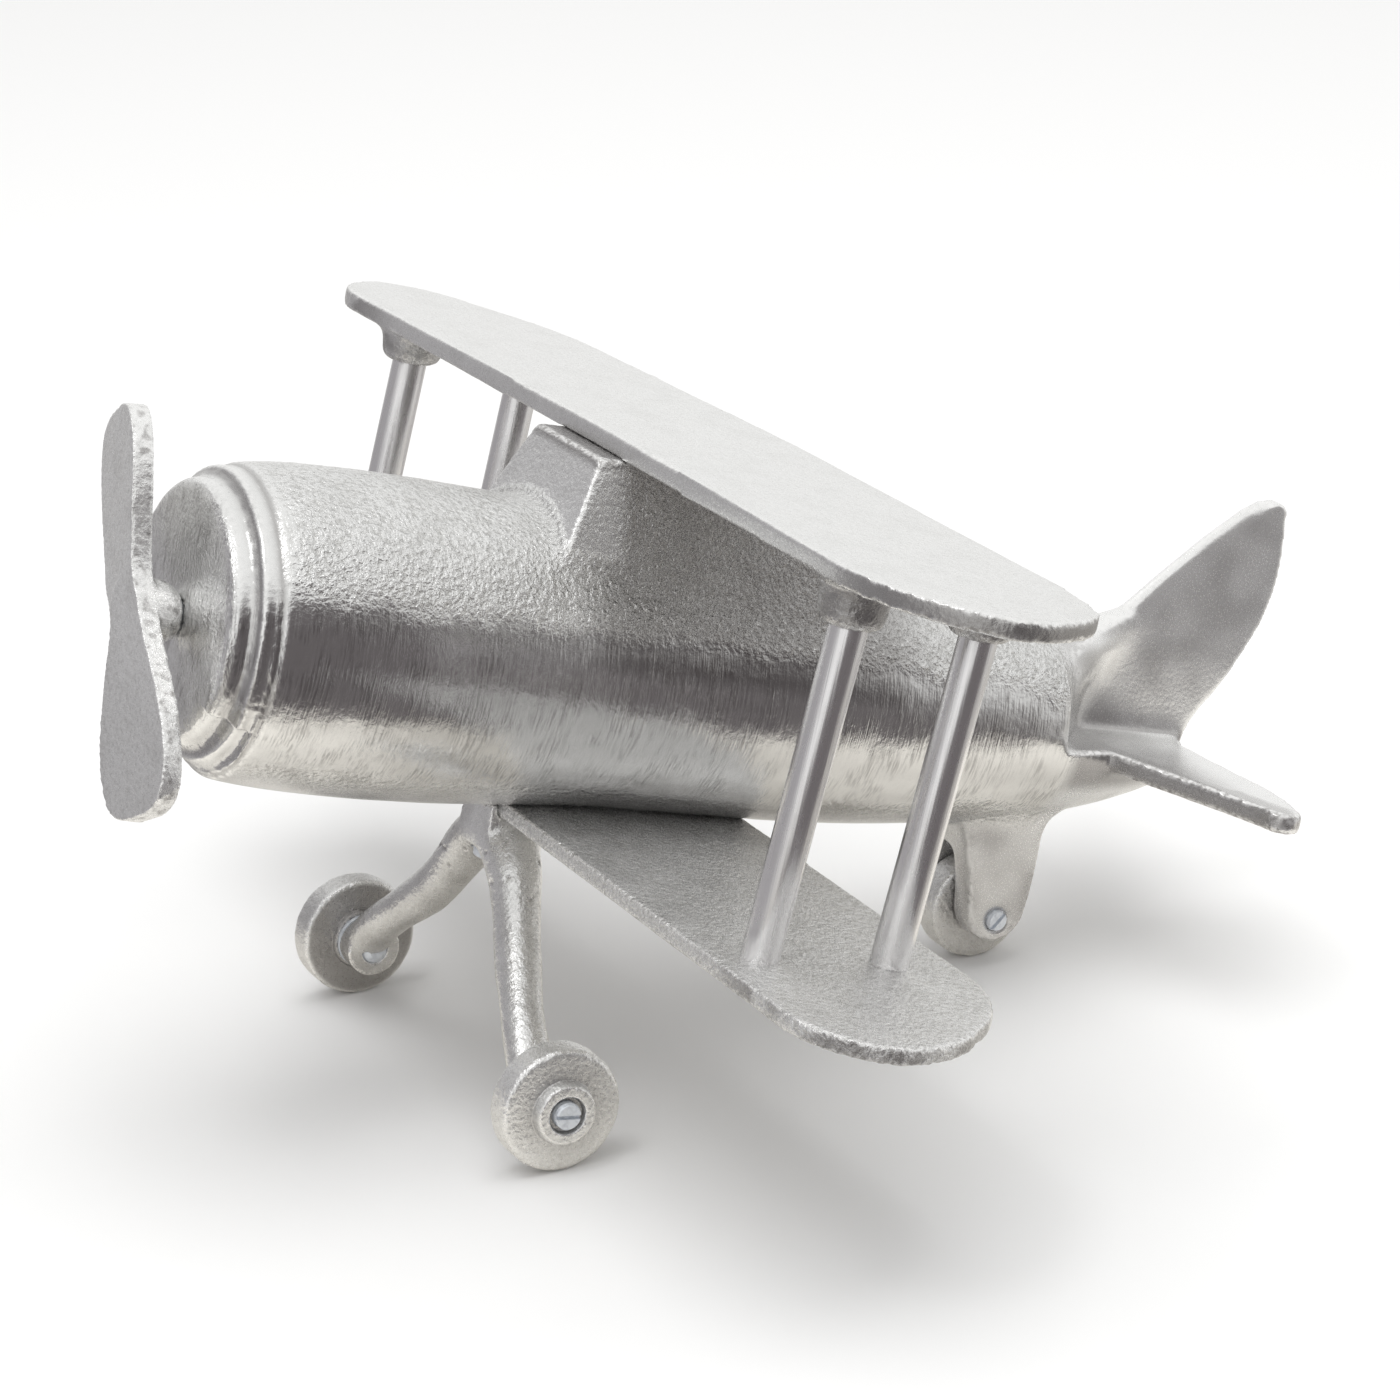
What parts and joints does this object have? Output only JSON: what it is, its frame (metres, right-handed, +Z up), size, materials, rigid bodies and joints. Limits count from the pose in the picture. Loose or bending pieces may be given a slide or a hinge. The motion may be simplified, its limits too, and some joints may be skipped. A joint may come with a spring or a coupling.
{
  "type": "propeller plane model",
  "caption": "Cast aluminium desk model of a biplane with a spinning two-blade propeller, rod wing struts and three rolling wheels.",
  "frame": {"origin": "on the ground plane, midway between the plane's left and right and between the foremost and rearmost points", "axes": "-Y towards the nose as the plane stands, +X to the plane's left, +Z up"},
  "size_m": [0.312, 0.293, 0.1574],
  "materials": {
    "cast_aluminium": "satin",
    "drawn_aluminium": "polished",
    "zinc_steel": "satin"
  },
  "bodies": {
    "airframe": {"fuselage": "cast_aluminium", "upper_wing": "cast_aluminium", "lower_wing": "cast_aluminium", "landing_gear": "cast_aluminium", "strut_left_front": "drawn_aluminium", "strut_left_rear": "drawn_aluminium", "strut_right_front": "drawn_aluminium", "strut_right_rear": "drawn_aluminium", "axle_screw_left": "zinc_steel", "axle_screw_right": "zinc_steel", "axle_washer_left": "zinc_steel", "axle_washer_right": "zinc_steel", "tail_axle_screw": "zinc_steel", "propeller_shaft": "zinc_steel", "gear_screw": "zinc_steel", "wing_screw": "zinc_steel", "strut_screws": "zinc_steel"},
    "propeller": {"propeller": "cast_aluminium"},
    "wheel_left": {"wheel_left": "cast_aluminium"},
    "wheel_right": {"wheel_right": "cast_aluminium"},
    "tail_wheel": {"tail_wheel": "cast_aluminium"}
  },
  "joints": [
    {"name": "propeller_spin", "type": "hinge", "parent": "airframe", "child": "propeller", "pos_m": [0, -0.13301, 0.11855], "axis": [0, 0.9648, -0.2629], "continuous": true},
    {"name": "wheel_left_spin", "type": "hinge", "parent": "airframe", "child": "wheel_left", "pos_m": [0.054, -0.06811, 0.0136], "axis": [1, 0, 0], "continuous": true},
    {"name": "wheel_right_spin", "type": "hinge", "parent": "airframe", "child": "wheel_right", "pos_m": [-0.054, -0.06811, 0.0136], "axis": [1, 0, 0], "continuous": true},
    {"name": "tail_wheel_spin", "type": "hinge", "parent": "airframe", "child": "tail_wheel", "pos_m": [0, 0.06215, 0.012], "axis": [1, 0, 0], "continuous": true}
  ]
}
